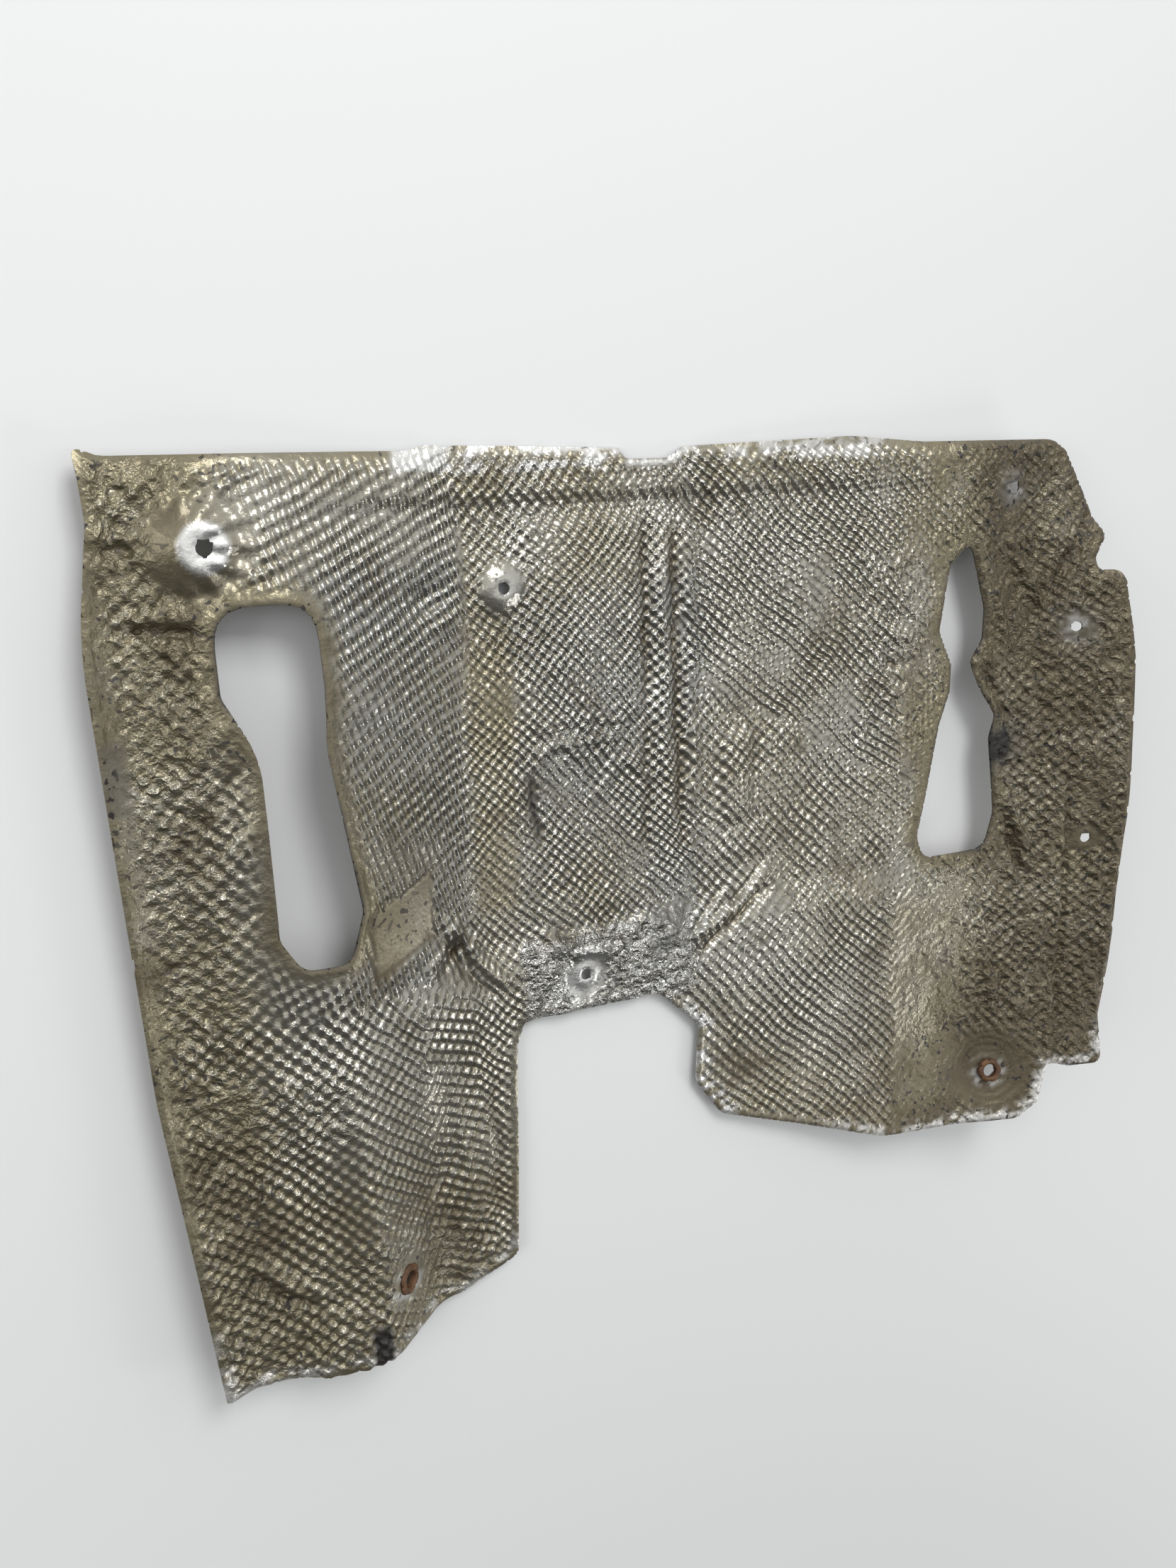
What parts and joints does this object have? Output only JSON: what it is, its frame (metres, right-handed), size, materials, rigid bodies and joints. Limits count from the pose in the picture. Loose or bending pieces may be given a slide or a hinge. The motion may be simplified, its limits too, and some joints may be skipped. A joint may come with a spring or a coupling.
{
  "type": "heat shield",
  "caption": "Pressed thin-sheet exhaust heat shield with a ribbed left side, open channel, turned-up wing, shaped pipe openings, raised screw seats and crimped steel eyelets.",
  "frame": {"origin": "bottom centre of the box of the shield as it lies on the floor with its exposed embossed face up", "axes": "+X across the shield from the ribbed side to the turned-up wing, +Y up the shield from the legs to the top rim, +Z out of the exposed face"},
  "size_m": [0.6338, 0.4798, 0.0663],
  "materials": {
    "shield_sheet": "dirty embossed aluminium, dull silver grey to tan",
    "eyelet_steel": "rust-brown steel"
  },
  "bodies": {
    "root": {"heat_shield_sheet": "shield_sheet", "steel_eyelets": "eyelet_steel"}
  },
  "joints": []
}
